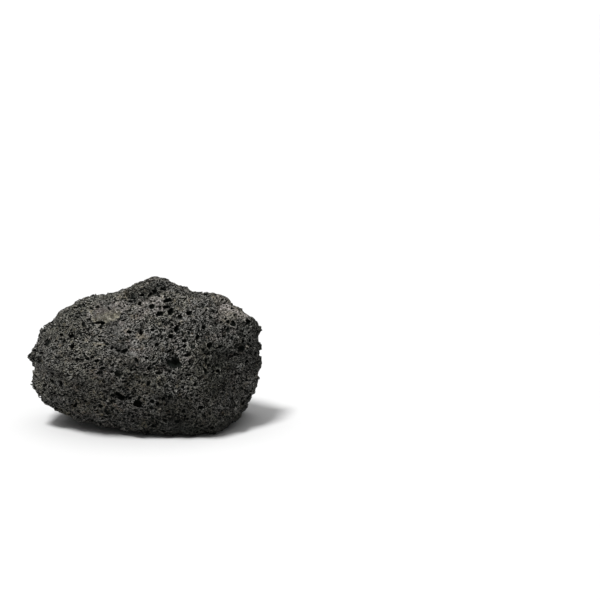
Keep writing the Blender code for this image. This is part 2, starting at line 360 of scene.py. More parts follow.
class RockSettings(bpy.types.PropertyGroup):
    """Sizes and colours of the rock's surface."""

    skin_step: bpy.props.FloatProperty(
        name="Skin step",
        description="Spacing of the mesh that the pores are cut into",
        default=0.0011,
        unit="LENGTH",
    )
    block_width: bpy.props.FloatProperty(
        name="Block width", description="Size of the broken blocks", default=0.017, unit="LENGTH"
    )
    lump_width: bpy.props.FloatProperty(
        name="Lump width", description="Size of the broken lumps", default=0.009, unit="LENGTH"
    )
    crumb_width: bpy.props.FloatProperty(
        name="Crumb width", description="Size of the crumbs on the lumps", default=0.0032, unit="LENGTH"
    )
    pore_count: bpy.props.IntProperty(
        name="Pores",
        description="How many burst bubbles are tried; those that would crowd others are left out",
        default=19000,
    )
    pore_radius: bpy.props.FloatProperty(
        name="Pore radius", description="Radius of an ordinary pore", default=0.00060, unit="LENGTH"
    )
    pore_spread: bpy.props.FloatProperty(
        name="Pore spread", description="How much pores differ in size", default=0.38, subtype="FACTOR"
    )
    seed: bpy.props.IntProperty(name="Seed", description="Where chance starts", default=11)
    most_faces: bpy.props.IntProperty(
        name="Most faces", description="Triangles kept in the finished surface", default=195000
    )
    stone_dark: bpy.props.FloatVectorProperty(
        name="Dark stone",
        description="Colour of the fresh stone",
        subtype="COLOR",
        default=(0.022, 0.023, 0.022),
    )
    stone_light: bpy.props.FloatVectorProperty(
        name="Light stone",
        description="Colour of the worn walls between the pores",
        subtype="COLOR",
        default=(0.121, 0.118, 0.110),
    )
    tan: bpy.props.FloatVectorProperty(
        name="Tan patches",
        description="Colour of the ochre stains",
        subtype="COLOR",
        default=(0.22, 0.182, 0.120),
    )
    pale: bpy.props.FloatVectorProperty(
        name="Pale patches",
        description="Colour of the bleached places",
        subtype="COLOR",
        default=(0.40, 0.365, 0.355),
    )
    scar_upper: bpy.props.FloatVectorProperty(
        name="Scar, upper",
        description="Colour of the scar's upper part",
        subtype="COLOR",
        default=(0.094, 0.079, 0.074),
    )
    scar_lower: bpy.props.FloatVectorProperty(
        name="Scar, lower",
        description="Colour of the scar's lower part",
        subtype="COLOR",
        default=(0.150, 0.134, 0.082),
    )
    # The flecks are tiny crystals whose bright colour is a painted glint.
    glinting_fleck: bpy.props.FloatVectorProperty(
        name="Flecks", description="Colour of the tiny crystals", subtype="COLOR", default=(0.50, 0.48, 0.45)
    )


class StageSettings(bpy.types.PropertyGroup):
    """Where the camera stands, and how bright the studio is."""

    camera_rise: bpy.props.FloatProperty(
        name="Camera rise",
        description="How far the camera looks down",
        default=math.radians(12.0),
        subtype="ANGLE",
    )
    lens: bpy.props.FloatProperty(name="Lens", description="Focal length in millimetres", default=85.0)
    view_width: bpy.props.FloatProperty(
        name="View width",
        description="Width of the view where the rock stands",
        default=0.3972,
        unit="LENGTH",
    )
    aim_right: bpy.props.FloatProperty(
        name="Aim right",
        description="How far the view's middle is right of the rock's",
        default=0.1023,
        unit="LENGTH",
    )
    aim_up: bpy.props.FloatProperty(
        name="Aim up",
        description="How far the view's middle is above the rock's core",
        default=0.0363,
        unit="LENGTH",
    )
    core_height: bpy.props.FloatProperty(
        name="Core height", description="Height of the rock's core", default=0.046, unit="LENGTH"
    )
    floor_tone: bpy.props.FloatProperty(
        name="Floor tone", description="How light the floor is", default=0.52, subtype="FACTOR"
    )
    room_light: bpy.props.FloatProperty(
        name="Room light", description="Strength of the light from all round", default=0.25
    )
    backdrop: bpy.props.FloatProperty(
        name="Backdrop", description="What the backdrop shows over the room light", default=0.9
    )


def deselect_all():
    """Leaves nothing selected and nothing active."""
    for each in bpy.context.selected_objects:
        each.select_set(False)
    bpy.context.view_layer.objects.active = None


def select_only(piece):
    """Selects one object and makes it the active one."""
    deselect_all()
    piece.select_set(True)
    bpy.context.view_layer.objects.active = piece


def apply_modifier(piece, kind, **values):
    """Adds a modifier of a kind to a piece, sets it and applies it."""
    select_only(piece)
    added = piece.modifiers.new(kind.lower(), kind)
    for name, value in values.items():
        setattr(added, name, value)
    bpy.ops.object.modifier_apply(modifier=added.name)


def linked_object(name, data):
    """A new object of a mesh, a camera or a light, linked to the scene."""
    made = bpy.data.objects.new(name, data)
    bpy.context.scene.collection.objects.link(made)
    return made


def copied_node(node, name):
    """A piece that starts as a copy of a solid's mesh, its doubles merged."""
    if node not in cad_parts:
        raise RuntimeError("the frame has no node named " + node)
    piece = linked_object(name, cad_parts[node].data.copy())
    piece.data.materials.clear()
    select_only(piece)
    bpy.ops.object.mode_set(mode="EDIT")
    bpy.ops.mesh.select_all(action="SELECT")
    bpy.ops.mesh.remove_doubles(threshold=0.01 * MM)
    bpy.ops.object.mode_set(mode="OBJECT")
    return piece


def coordinates(mesh):
    """The places of a mesh's vertices, one row each."""
    flat = np.empty(len(mesh.vertices) * 3)
    mesh.vertices.foreach_get("co", flat)
    return flat.reshape(-1, 3)


def set_coordinates(mesh, places):
    """Moves a mesh's vertices to the rows of places."""
    mesh.vertices.foreach_set("co", np.asarray(places, dtype=np.float32).ravel())
    mesh.update()


def surface_tree(mesh):
    """A tree of a mesh's faces, for finding the nearest point on it."""
    shape = bmesh.new()
    shape.from_mesh(mesh)
    tree = BVHTree.FromBMesh(shape)
    shape.free()
    return tree


def normals_of(mesh):
    """The normals at a mesh's vertices, one row each."""
    flat = np.empty(len(mesh.vertices) * 3, dtype=np.float32)
    mesh.vertex_normals.foreach_get("vector", flat)
    return flat.reshape(-1, 3).astype(float)


def eased(values, low, high):
    """Values brought to the range 0 to 1 between a low and a high mark, eased at both ends."""
    share = np.clip((values - low) / (high - low), 0.0, 1.0)
    return share * share * (3.0 - 2.0 * share)


class Lattice:
    """Chance values for the cells of an endless lattice, some values a cell."""

    SIDE = 61

    def __init__(self, seed, values):
        self.table = np.random.RandomState(seed).random_sample((self.SIDE,) * 3 + (values,))

    def around(self, spots):
        """For each of the 27 cells about every spot: the cell's corner and its chance values."""
        own = np.floor(spots).astype(np.int64)
        for a in (-1, 0, 1):
            for b in (-1, 0, 1):
                for c in (-1, 0, 1):
                    cell = own + np.array((a, b, c))
                    wrapped = cell % self.SIDE
                    yield cell, self.table[wrapped[:, 0], wrapped[:, 1], wrapped[:, 2]]


def broken_facets(places, width, tilt, step, seed):
    """Heights of a surface broken into little facets, each tilted and stepped by chance."""
    spots = places / width
    nearest = np.full(len(spots), 9.0)
    heights = np.zeros(len(spots))
    for cell, chance in Lattice(seed, 7).around(spots):
        apart = spots - cell - chance[:, :3]
        far = (apart * apart).sum(axis=1)
        slope = (apart * (chance[:, 3:6] - 0.5)).sum(axis=1) * 2.0 * tilt
        height = (slope + (chance[:, 6] - 0.5) * step) * width
        closer = far < nearest
        nearest = np.where(closer, far, nearest)
        heights = np.where(closer, height, heights)
    return heights


def spans(places, tree, middle, reach, lean):
    """How far each place is from a form's middle along, up and out of the face, in reaches."""
    centre, normal, _, _ = tree.find_nearest(Vector(middle) * MM)
    axes = np.array(turned_to(normal, math.radians(lean)))
    local = (places - np.array(centre)) @ axes
    return local / (np.array((reach[0], reach[1], 1.2 * max(reach))) * MM)


def patches(places, tree, table):
    """The strongest share of any patch in a table at each place."""
    shares = np.zeros(len(places))
    for middle, reach, lean, strength in table.values():
        far = np.linalg.norm(spans(places, tree, middle, reach, lean), axis=1)
        shares = np.maximum(shares, strength * (1.0 - eased(far, *PATCH_EDGE)))
    return shares


def raise_forms(piece):
    """Raises and sinks the slight forms of a piece's skin."""
    mesh = piece.data
    tree = surface_tree(mesh)
    places, normals = coordinates(mesh), normals_of(mesh)
    heights = np.zeros(len(places))
    for middle, reach, lean, height in FORMS.values():
        local = spans(places, tree, middle, reach, lean)
        heights += height * MM * np.exp(-(local * local).sum(axis=1))
    set_coordinates(mesh, places + normals * heights[:, None])


def scar_frame(places):
    """Where each place lies along and up the scar, and how far from its middle, in its half sizes."""
    turn, rise = (math.radians(angle) for angle in SCAR_FACING)
    facing = Vector((math.sin(turn) * math.cos(rise), -math.cos(turn) * math.cos(rise), math.sin(rise)))
    axes = np.array(turned_to(facing, math.radians(SCAR_LEAN)))
    local = (places - np.array(SCAR_MIDDLE) * MM) @ axes
    along, up = local[:, 0] / (SCAR_HALF[0] * MM), local[:, 1] / (SCAR_HALF[1] * MM)
    around = np.arctan2(up, along)
    edge = np.ones(len(places))
    for height, waves, start in SCAR_EDGE:
        edge = edge + height * np.sin(waves * around + start)
    far = np.hypot(along, up) / edge
    far = np.where(np.abs(local[:, 2]) < SCAR_DEPTH * MM, far, OUTSIDE)
    return along, up, far


def press_scar(piece):
    """Tilts the scar's plate out, so that its lower edge stands proud of the wall."""
    places, normals = coordinates(piece.data), normals_of(piece.data)
    along, up, far = scar_frame(places)
    level, tilt, bend = SCAR_LIFT
    lift = (level - tilt * up - bend * along * along) * MM
    lift = np.where(up < 0.0, lift, lift * (1.0 - eased(far, 0.75, 1.0)))
    set_coordinates(piece.data, places + normals * np.where(far < 1.0, lift, 0.0)[:, None])


def crumble(piece, settings):
    """Breaks a piece's skin into lumps and crumbs."""
    mesh = piece.data
    places, normals = coordinates(mesh), normals_of(mesh)
    height = np.zeros(len(places))
    for setting, tilt, step, seed_step, weight in SKIN_BREAKS:
        width = getattr(settings, setting)
        height += broken_facets(places, width, tilt, step, settings.seed + seed_step) * weight
    calm = 1.0 - SCAR_CALM * (1.0 - eased(scar_frame(places)[2], 0.8, 1.1))
    calm *= 1.0 - patches(places, surface_tree(mesh), CALM_PATCHES)
    places = places + normals * (height * calm)[:, None]
    places[:, 2] = np.maximum(places[:, 2], 0.0)
    set_coordinates(mesh, places)


def bubble_shapes(dice):
    """Unit balls made uneven: the finer the level, the wider the pores that it is for."""
    shapes = []
    for sides, rings, unevenness in BALLS:
        level = []
        for _ in range(BALLS_OF_A_KIND):
            deselect_all()
            bpy.ops.mesh.primitive_uv_sphere_add(segments=sides, ring_count=rings, radius=1.0)
            ball = bpy.context.object
            bpy.ops.object.mode_set(mode="EDIT")
            bpy.ops.mesh.quads_convert_to_tris()
            bpy.ops.transform.vertex_random(offset=unevenness, seed=dice.randrange(1, 9999))
            bpy.ops.object.mode_set(mode="OBJECT")
            faces = np.array([polygon.vertices[:] for polygon in ball.data.polygons])
            level.append((coordinates(ball.data), faces))
            mesh = ball.data
            bpy.data.objects.remove(ball)
            bpy.data.meshes.remove(mesh)
        shapes.append(level)
    return shapes


def scattered_points(mesh, count, draws):
    """Points spread evenly over a mesh by chance, each with the normal of its face."""
    mesh.calc_loop_triangles()
    corners = np.empty(len(mesh.loop_triangles) * 3, dtype=np.int64)
    mesh.loop_triangles.foreach_get("vertices", corners)
    places = coordinates(mesh)[corners.reshape(-1, 3)]
    across = np.cross(places[:, 1] - places[:, 0], places[:, 2] - places[:, 0])
    areas = np.linalg.norm(across, axis=1)
    picked = draws.choice(len(areas), count, p=areas / areas.sum())
    first, second = draws.random((2, count, 1))
    folded = first + second > 1.0
    first, second = np.where(folded, 1.0 - first, first), np.where(folded, 1.0 - second, second)
    places = places[picked]
    points = places[:, 0] + first * (places[:, 1] - places[:, 0]) + second * (places[:, 2] - places[:, 0])
    return points, across[picked] / areas[picked][:, None]


def turned_to(normal, lean):
    """Axes along a face, up it and out of it, the first two turned by the lean, as columns."""
    out = Vector(normal).normalized()
    along = UP.cross(out)
    if along.length < 0.05:
        along = Vector((1.0, 0.0, 0.0))
    along.normalize()
    up = out.cross(along)
    turn = Matrix.Rotation(lean, 3, out)
    return Matrix((turn @ along, turn @ up, out)).transposed()


class Bubble:
    """One burst bubble: its centre, half sizes along, up and into the face, and axes."""

    def __init__(self, centre, half_sizes, axes):
        self.centre = Vector(centre)
        self.half_sizes = half_sizes
        self.axes = axes
        self.reach = max(half_sizes)


def hole_bubbles(tree, dice):
    """The bubbles of the holes that are placed one by one, each run together with smaller ones."""
    found = []
    for middle, half_sizes, lean in HOLES.values():
        place, normal, _, _ = tree.find_nearest(Vector(middle) * MM)
        axes = turned_to(normal, math.radians(lean))
        sizes = [size * HOLE_SCALE * MM for size in half_sizes]
        centre = place - normal * sizes[2] * HOLE_SINK
        found.append(Bubble(centre, sizes, axes))
        for _ in range(3 if half_sizes[0] > WIDE_HOLE else 1):
            turn, share = dice.uniform(0.0, math.tau), dice.uniform(*SATELLITE_SHARES)
            apart = Vector((math.cos(turn) * sizes[0], math.sin(turn) * sizes[1], 0.0))
            centre_apart = centre + axes @ (apart * (1.12 - 0.4 * share))
            found.append(Bubble(centre_apart, [size * share for size in sizes], axes))
    return found


def cell_of(place, side):
    """The box of a side that a place lies in."""
    return tuple(math.floor(value / side) for value in place)


def cells_around(cell):
    """A box and the 26 boxes about it."""
    steps = (-1, 0, 1)
    return [(cell[0] + a, cell[1] + b, cell[2] + c) for a in steps for b in steps for c in steps]


def past_lean_line(along, height):
    """How far a place lies to the right of the line past which pores lean."""
    return along + LEAN_LINE_SLOPE * (height - LEAN_LINE_HEIGHT)


def pore_bubbles(mesh, tree, settings, dice, placed):
    """Bubbles of chance sizes, spread over a mesh clear of the ones already placed."""
    draws = np.random.RandomState(settings.seed)
    points, normals = scattered_points(mesh, settings.pore_count, draws)
    radii = settings.pore_radius * np.exp(draws.normal(0.0, settings.pore_spread, len(points)))
    radii *= 0.92 + 0.5 * patches(points, tree, WIDE_PATCHES)
    radii = np.clip(radii, *PORE_LIMITS)
    in_scar = scar_frame(points)[2] < 1.02
    radii[in_scar] = np.minimum(radii[in_scar], SCAR_PORE_LIMIT)
    taken = {}
    for bubble in placed:
        cell = cell_of(bubble.centre, PORE_CELL)
        taken.setdefault(cell, []).append((bubble.centre, bubble.reach * 0.9))
    found = []
    for index in np.argsort(-radii):
        if in_scar[index] and dice.random() < SCAR_PORES_SKIPPED:
            continue
        point, normal, radius = Vector(points[index]), normals[index], float(radii[index])
        own_cell = cell_of(point, PORE_CELL)
        near = [each for cell in cells_around(own_cell) for each in taken.get(cell, ())]
        crowding = dice.choice((0.75, 0.95, 1.1))
        if any((point - place).length < crowding * (radius + other) for place, other in near):
            continue
        leans = past_lean_line(point.x, point.z) + dice.gauss(0.0, 0.008) > -0.002
        stretches, angles = LEANING if leans else LYING
        stretch, lean = dice.uniform(*stretches), math.radians(dice.gauss(*angles))
        into = radius * dice.uniform(0.9, 1.5)
        half_sizes = (radius * stretch ** 0.6, radius / stretch ** 0.4, into)
        centre = point - Vector(normal) * into * dice.uniform(0.0, 0.45)
        found.append(Bubble(centre, half_sizes, turned_to(normal, lean)))
        taken.setdefault(own_cell, []).append((point, radius))
    return found


def clear_of(bubble, others):
    """Whether a bubble touches none of the others."""
    return all(
        (bubble.centre - other.centre).length > 1.03 * (bubble.reach + other.reach) for other in others
    )


def grouped(bubbles):
    """Groups of bubbles, none of which touches another of its own group."""
    groups = []
    for bubble in sorted(bubbles, key=lambda each: -each.reach):
        own_cell = cell_of(bubble.centre, CUT_CELL)
        near = cells_around(own_cell)
        for group in groups:
            if clear_of(bubble, (other for cell in near for other in group.get(cell, ()))):
                break
        else:
            group = {}
            groups.append(group)
        group.setdefault(own_cell, []).append(bubble)
    return [[each for cell_bubbles in group.values() for each in cell_bubbles] for group in groups]


def bubble_mesh(bubbles, shapes, dice):
    """One mesh of all the bubbles given, each a copy of one of the shapes."""
    places, faces, count = [], [], 0
    for bubble in bubbles:
        level = sum(bubble.reach > limit for limit in BALL_LIMITS)
        corners, sides = dice.choice(shapes[level])
        matrix = np.array(bubble.axes) @ np.diag(bubble.half_sizes)
        places.append(corners @ matrix.T + np.array(bubble.centre))
        faces.append(sides + count)
        count += len(corners)
    mesh = bpy.data.meshes.new("bubbles")
    mesh.from_pydata(np.concatenate(places).tolist(), [], np.concatenate(faces).tolist())
    return mesh


def cut_bubbles(piece, bubbles, dice):
    """Cuts the bubbles out of a piece."""
    shapes = bubble_shapes(dice)
    for group in grouped(bubbles):
        cutter = linked_object("bubbles", bubble_mesh(group, shapes, dice))
        apply_modifier(piece, "BOOLEAN", object=cutter, operation="DIFFERENCE", solver="MANIFOLD")
        mesh = cutter.data
        bpy.data.objects.remove(cutter)
        bpy.data.meshes.remove(mesh)


def delete_vertices(piece, chosen):
    """Deletes the vertices that are chosen, and the faces on them."""
    mesh = piece.data
    mesh.vertices.foreach_set("select", chosen)
    mesh.edges.foreach_set("select", np.zeros(len(mesh.edges), dtype=bool))
    mesh.polygons.foreach_set("select", np.zeros(len(mesh.polygons), dtype=bool))
    select_only(piece)
    bpy.ops.object.mode_set(mode="EDIT")
    bpy.ops.mesh.delete(type="VERT")
    bpy.ops.object.mode_set(mode="OBJECT")


def edge_ends(mesh):
    """The two vertices of each of a mesh's edges, one row each."""
    ends = np.empty(len(mesh.edges) * 2, dtype=np.int64)
    mesh.edges.foreach_get("vertices", ends)
    return ends.reshape(-1, 2)


def drop_bits(piece):
    """Deletes all that doesn't hang on to the piece's main body."""
    ends = edge_ends(piece.data)
    body = np.arange(len(piece.data.vertices))
    changed = True
    while changed:
        before = body.copy()
        least = body[ends].min(axis=1)
        np.minimum.at(body, ends[:, 0], least)
        np.minimum.at(body, ends[:, 1], least)
        body = body[body]
        changed = bool((body != before).any())
    delete_vertices(piece, body != np.bincount(body).argmax())


def drop_flaps(piece):
    """Deletes the corners whose edges are all free, and with them the flaps they belong to."""
    mesh = piece.data
    sides = np.empty(len(mesh.loops), dtype=np.int64)
    mesh.loops.foreach_get("edge_index", sides)
    free = np.bincount(sides, minlength=len(mesh.edges)) < 2
    ends = edge_ends(mesh)
    edges = np.bincount(ends.ravel(), minlength=len(mesh.vertices))
    free_edges = np.bincount(ends[free].ravel(), minlength=len(mesh.vertices))
    delete_vertices(piece, edges == free_edges)


def fit_to_solid(piece):
    """Draws a piece in, or out, by a hair, so that it fills the solid's own box."""
    places = coordinates(piece.data)
    low, high = places.min(axis=0), places.max(axis=0)
    wanted_low, wanted_high = (np.array(corner) for corner in CAD_BOX)
    set_coordinates(piece.data, wanted_low + (places - low) / (high - low) * (wanted_high - wanted_low))


def add_node(tree, kind, inputs=None, **settings):
    """Adds a shader node, sets it up, and gives its inputs values or links."""
    made = tree.nodes.new("ShaderNode" + kind)
    for name, value in settings.items():
        setattr(made, name, value)
    for name, value in (inputs or {}).items():
        socket = made.inputs[name]
        if isinstance(value, bpy.types.NodeSocket):
            tree.links.new(value, socket)
        else:
            socket.default_value = value
    return made


def maths(tree, operation, first, second=0.0, clamp=False):
    """The value of a sum, product or other operation on two values or sockets."""
    made = add_node(tree, "Math", {0: first, 1: second}, operation=operation, use_clamp=clamp)
    return made.outputs[0]


def ramped(tree, value, low, high):
    """A value brought to the range 0 to 1 between a low and a high mark, eased at both ends."""
    made = add_node(
        tree,
        "MapRange",
        {"Value": value, "From Min": low, "From Max": high},
        interpolation_type="SMOOTHSTEP",
    )
    return made.outputs["Result"]


def mixed(tree, share, first, second, blend="MIX"):
    """A colour that goes from the first to the second as the share goes from 0 to 1."""
    made = add_node(tree, "Mix", data_type="RGBA", blend_type=blend)
    sockets = {socket.identifier: socket for socket in made.inputs}
    for name, value in (("Factor_Float", share), ("A_Color", first), ("B_Color", second)):
        if isinstance(value, bpy.types.NodeSocket):
            tree.links.new(value, sockets[name])
        else:
            sockets[name].default_value = value
    return next(socket for socket in made.outputs if socket.identifier == "Result_Color")


def noise_at(tree, place, width, detail=3.0, roughness=0.55):
    """Soft noise whose lumps are about a width across."""
    made = add_node(
        tree,
        "TexNoise",
        {"Vector": place, "Scale": 1.0 / width, "Detail": detail, "Roughness": roughness},
    )
    return made.outputs["Fac"]


def cells_at(tree, place, width):
    """Cells about a width across: the distance to the middle, and a chance colour for each."""
    made = add_node(tree, "TexVoronoi", {"Vector": place, "Scale": 1.0 / width})
    return made.outputs["Distance"], made.outputs["Color"]


def stored(tree, name):
    """The value that the mesh stores under a name."""
    return add_node(tree, "Attribute", attribute_name=name).outputs["Fac"]


def opaque(colour):
    """A colour with full alpha."""
    return (*colour, 1.0)


def turned_place(tree, place, lean, stretch):
    """Places turned about the front-to-back axis and stretched, so that a pattern leans."""
    turned = add_node(tree, "VectorRotate", {"Vector": place, "Angle": lean}, rotation_type="Y_AXIS")
    scaled = add_node(tree, "VectorMath", {0: turned.outputs[0], 1: stretch}, operation="MULTIPLY")
    return scaled.outputs[0]


def fine_pores(tree, place, width, sizes):
    """Pores too fine to be cut: how far inside a pore each place is, and how near to its lip."""
    far, chance = cells_at(tree, place, width)
    share = add_node(tree, "SeparateColor", {"Color": chance}).outputs[0]
    size = add_node(tree, "MapRange", {"Value": share, "To Min": sizes[0], "To Max": sizes[1]}).outputs[0]
    past = maths(tree, "SUBTRACT", far, size)
    inside = maths(tree, "SUBTRACT", 1.0, ramped(tree, past, -0.08, 0.03))
    lip = maths(tree, "SUBTRACT", ramped(tree, past, -0.02, 0.05), ramped(tree, past, 0.07, 0.20))
    return inside, maths(tree, "MAXIMUM", lip, 0.0)


def laid_over(tree, wall, share, strength, colour, blend="MIX"):
    """A wall's colour with another laid over it, as far as a share times a strength."""
    return mixed(tree, maths(tree, "MULTIPLY", share, strength), wall, opaque(colour), blend)


def stone_tone(tree, place):
    """The soft noises of the stone by name, and their sum, which is its tone."""
    noises, tone = {}, None
    for name, (width, detail, roughness, weight) in TONE_NOISES.items():
        noises[name] = noise_at(tree, place, width, detail, roughness)
        part = maths(tree, "MULTIPLY", noises[name], weight)
        tone = part if tone is None else maths(tree, "ADD", tone, part)
    return noises, tone


def stone_wall(tree, place, grain, tone, settings):
    """The colour of the walls between the pores: stone, tints, dust, stains, the scar with a painted
    highlight on its lower lip, and rims that are partly worn and partly a painted highlight.
    """
    shade = ramped(tree, tone, 1.14, 1.58)
    wall = mixed(tree, shade, opaque(settings.stone_dark), opaque(settings.stone_light))
    for width, detail, start, full, tint, strength in TINTS.values():
        cloud = ramped(tree, noise_at(tree, place, width, detail), start, full)
        wall = laid_over(tree, wall, cloud, strength, tint, "MULTIPLY")
    dusty = maths(tree, "MULTIPLY", stored(tree, "dust"), ramped(tree, tone, 1.15, 1.5))
    wall = laid_over(tree, wall, dusty, 0.14, DUST_COLOUR)
    tanned = maths(tree, "MULTIPLY", stored(tree, "tan"), ramped(tree, grain, 0.34, 0.62))
    wall = mixed(tree, tanned, wall, opaque(settings.tan))
    pale = maths(tree, "MULTIPLY", stored(tree, "pale"), ramped(tree, grain, 0.42, 0.60))
    wall = laid_over(tree, wall, pale, 0.95, settings.pale)
    plate = mixed(tree, stored(tree, "scar_low"), opaque(settings.scar_upper), opaque(settings.scar_lower))
    plate = mixed(tree, ramped(tree, grain, 0.43, 0.55), opaque(SCAR_GRAIN_COLOUR), plate)
    wall = mixed(tree, maths(tree, "MULTIPLY", stored(tree, "scar"), 0.9), wall, plate)
    # Painted highlight along the scar's lower lip.
    wall = laid_over(tree, wall, stored(tree, "scar_lip_highlight"), 0.95, SCAR_LIP_HIGHLIGHT_COLOUR)
    # Rims partly worn and partly painted highlight: convex edges made lighter.
    worn_and_highlit = maths(tree, "MULTIPLY", stored(tree, "rim_wear_and_highlight"), ramped(tree, grain, 0.35, 0.65))
    return laid_over(tree, wall, worn_and_highlit, 0.8, RIM_WEAR_AND_HIGHLIGHT_COLOUR)


def pore_cover(tree, place, grain):
    """Fine pores all over, leaning at the right and lying at the left: their insides, where shade is
    painted, and their lips, where a highlight is painted.
    """
    right = stored(tree, "right")
    leaning = turned_place(tree, place, *LEANING_PORES)
    lying = turned_place(tree, place, *LYING_PORES)
    hollow, lip = 0.0, 0.0
    for width, sizes in FINE_PORES:
        leaning_in, leaning_lip = fine_pores(tree, leaning, width, sizes)
        lying_in, lying_lip = fine_pores(tree, lying, width, sizes)
        inside = add_node(tree, "Mix", {0: right, 2: lying_in, 3: leaning_in}).outputs[0]
        edge = add_node(tree, "Mix", {0: right, 2: lying_lip, 3: leaning_lip}).outputs[0]
        hollow = maths(tree, "MAXIMUM", hollow, inside)
        lip = maths(tree, "MAXIMUM", lip, edge)
    filled = 0.0
    for name, share in (("tan", 0.35), ("scar", 0.45), ("pale", 0.45)):
        filled = maths(tree, "MAXIMUM", filled, maths(tree, "MULTIPLY", stored(tree, name), share))
    compact = maths(tree, "SUBTRACT", 1.0, filled, clamp=True)
    hollow = maths(tree, "MULTIPLY", hollow, compact)
    lip = maths(tree, "MULTIPLY", lip, compact)
    return hollow, maths(tree, "MULTIPLY", lip, ramped(tree, grain, 0.38, 0.60))


def crystal_flecks(tree, place, pit, hollow):
    """Tiny crystals here and there on the walls, none of them in a pore, where bright glints are painted."""
    spot, chance = cells_at(tree, place, 0.00085)
    near = maths(tree, "LESS_THAN", spot, 0.42)
    glinting_fleck = maths(tree, "MULTIPLY", near, maths(tree, "GREATER_THAN", chance, 0.87))
    outside = maths(tree, "SUBTRACT", 1.0, maths(tree, "MAXIMUM", pit, hollow), clamp=True)
    return maths(tree, "MULTIPLY", glinting_fleck, outside)


def stone_material(settings):
    """Dark pitted stone: worn walls whose rims also get a painted highlight, pores with painted shade inside
    and a painted highlight on their lips, brown dust, tiny crystals with painted glints, and painted shade
    in the pits, in patches and at the foot.
    """
    stone = bpy.data.materials.new("vesicular_basalt")
    stone.use_nodes = True
    tree = stone.node_tree
    shader = tree.nodes["Principled BSDF"]
    place = add_node(tree, "TexCoord").outputs["Object"]
    noises, tone = stone_tone(tree, place)
    grain = noises["grain"]
    pit = stored(tree, "pit")
    wall = stone_wall(tree, place, grain, tone, settings)
    hollow, lip = pore_cover(tree, place, grain)
    # Painted highlight: pale rings on the lips of the fine pores.
    wall = laid_over(tree, wall, lip, 0.95, PORE_LIP_HIGHLIGHT_COLOUR)
    # Painted shade: near black inside the fine pores.
    wall = mixed(tree, hollow, wall, opaque(PORE_SHADE_COLOUR))
    rust = ramped(tree, noise_at(tree, place, 0.0022, 3.0), 0.66, 0.74)
    wall = laid_over(tree, wall, rust, 0.45, RUST_COLOUR)
    # Painted shade in patches: at the ends, the peak, the groove and the right wall.
    wall = mixed(tree, stored(tree, "painted_shade"), wall, opaque(SHADE_TINT), "MULTIPLY")
    # Painted shade in the pits, darker the deeper a place lies under the skin.
    colour = laid_over(tree, wall, pit, 0.94, PIT_SHADE_COLOUR)
    # More painted shade in the deepest parts of the pits.
    colour = mixed(tree, stored(tree, "deep"), colour, opaque(DEEP_SHADE_COLOUR))
    glinting_fleck = crystal_flecks(tree, place, pit, hollow)
    # Painted glints: the tiny crystals are made bright, and their lower roughness gives them a little real
    # shine.
    colour = laid_over(tree, colour, glinting_fleck, 0.8, settings.glinting_fleck)
    # Painted shade at the foot, near the floor.
    colour = laid_over(tree, colour, stored(tree, "foot"), 0.7, FOOT_SHADE_COLOUR)
    tree.links.new(colour, shader.inputs["Base Color"])
    roughness = maths(tree, "SUBTRACT", 0.93, maths(tree, "MULTIPLY", glinting_fleck, 0.5))
    tree.links.new(roughness, shader.inputs["Roughness"])
    shader.inputs["Specular IOR Level"].default_value = 0.1
    height = maths(tree, "MULTIPLY", grain, 0.8)
    height = maths(tree, "ADD", height, maths(tree, "MULTIPLY", hollow, -1.0))
    height = maths(tree, "ADD", height, maths(tree, "MULTIPLY", noises["mottle"], 1.2))
    bump = add_node(tree, "Bump", {"Height": height, "Strength": 1.0, "Distance": 1.1 * MM})
    tree.links.new(bump.outputs["Normal"], shader.inputs["Normal"])
    return stone


def store(mesh, name, values):
    """Stores one value a vertex on a mesh."""
    added = mesh.attributes.new(name, "FLOAT", "POINT")
    added.data.foreach_set("value", np.asarray(values, dtype=np.float32))


def skin_depth_rise_and_bend(mesh, skin_tree):
    """For each vertex: how deep it lies under the skin, how steeply the skin there faces up, and
    how sharply the edges at the vertex bend."""
    shape = bmesh.new()
    shape.from_mesh(mesh)
    depth, rise, bend = [], [], []
    for vertex in shape.verts:
        _, normal, _, far = skin_tree.find_nearest(vertex.co)
        depth.append(far)
        rise.append(normal.z)
        bends = [edge.calc_face_angle_signed(0.0) for edge in vertex.link_edges]
        bend.append(sum(bends) / len(bends))
    shape.free()
    return np.array(depth), np.array(rise), np.array(bend)


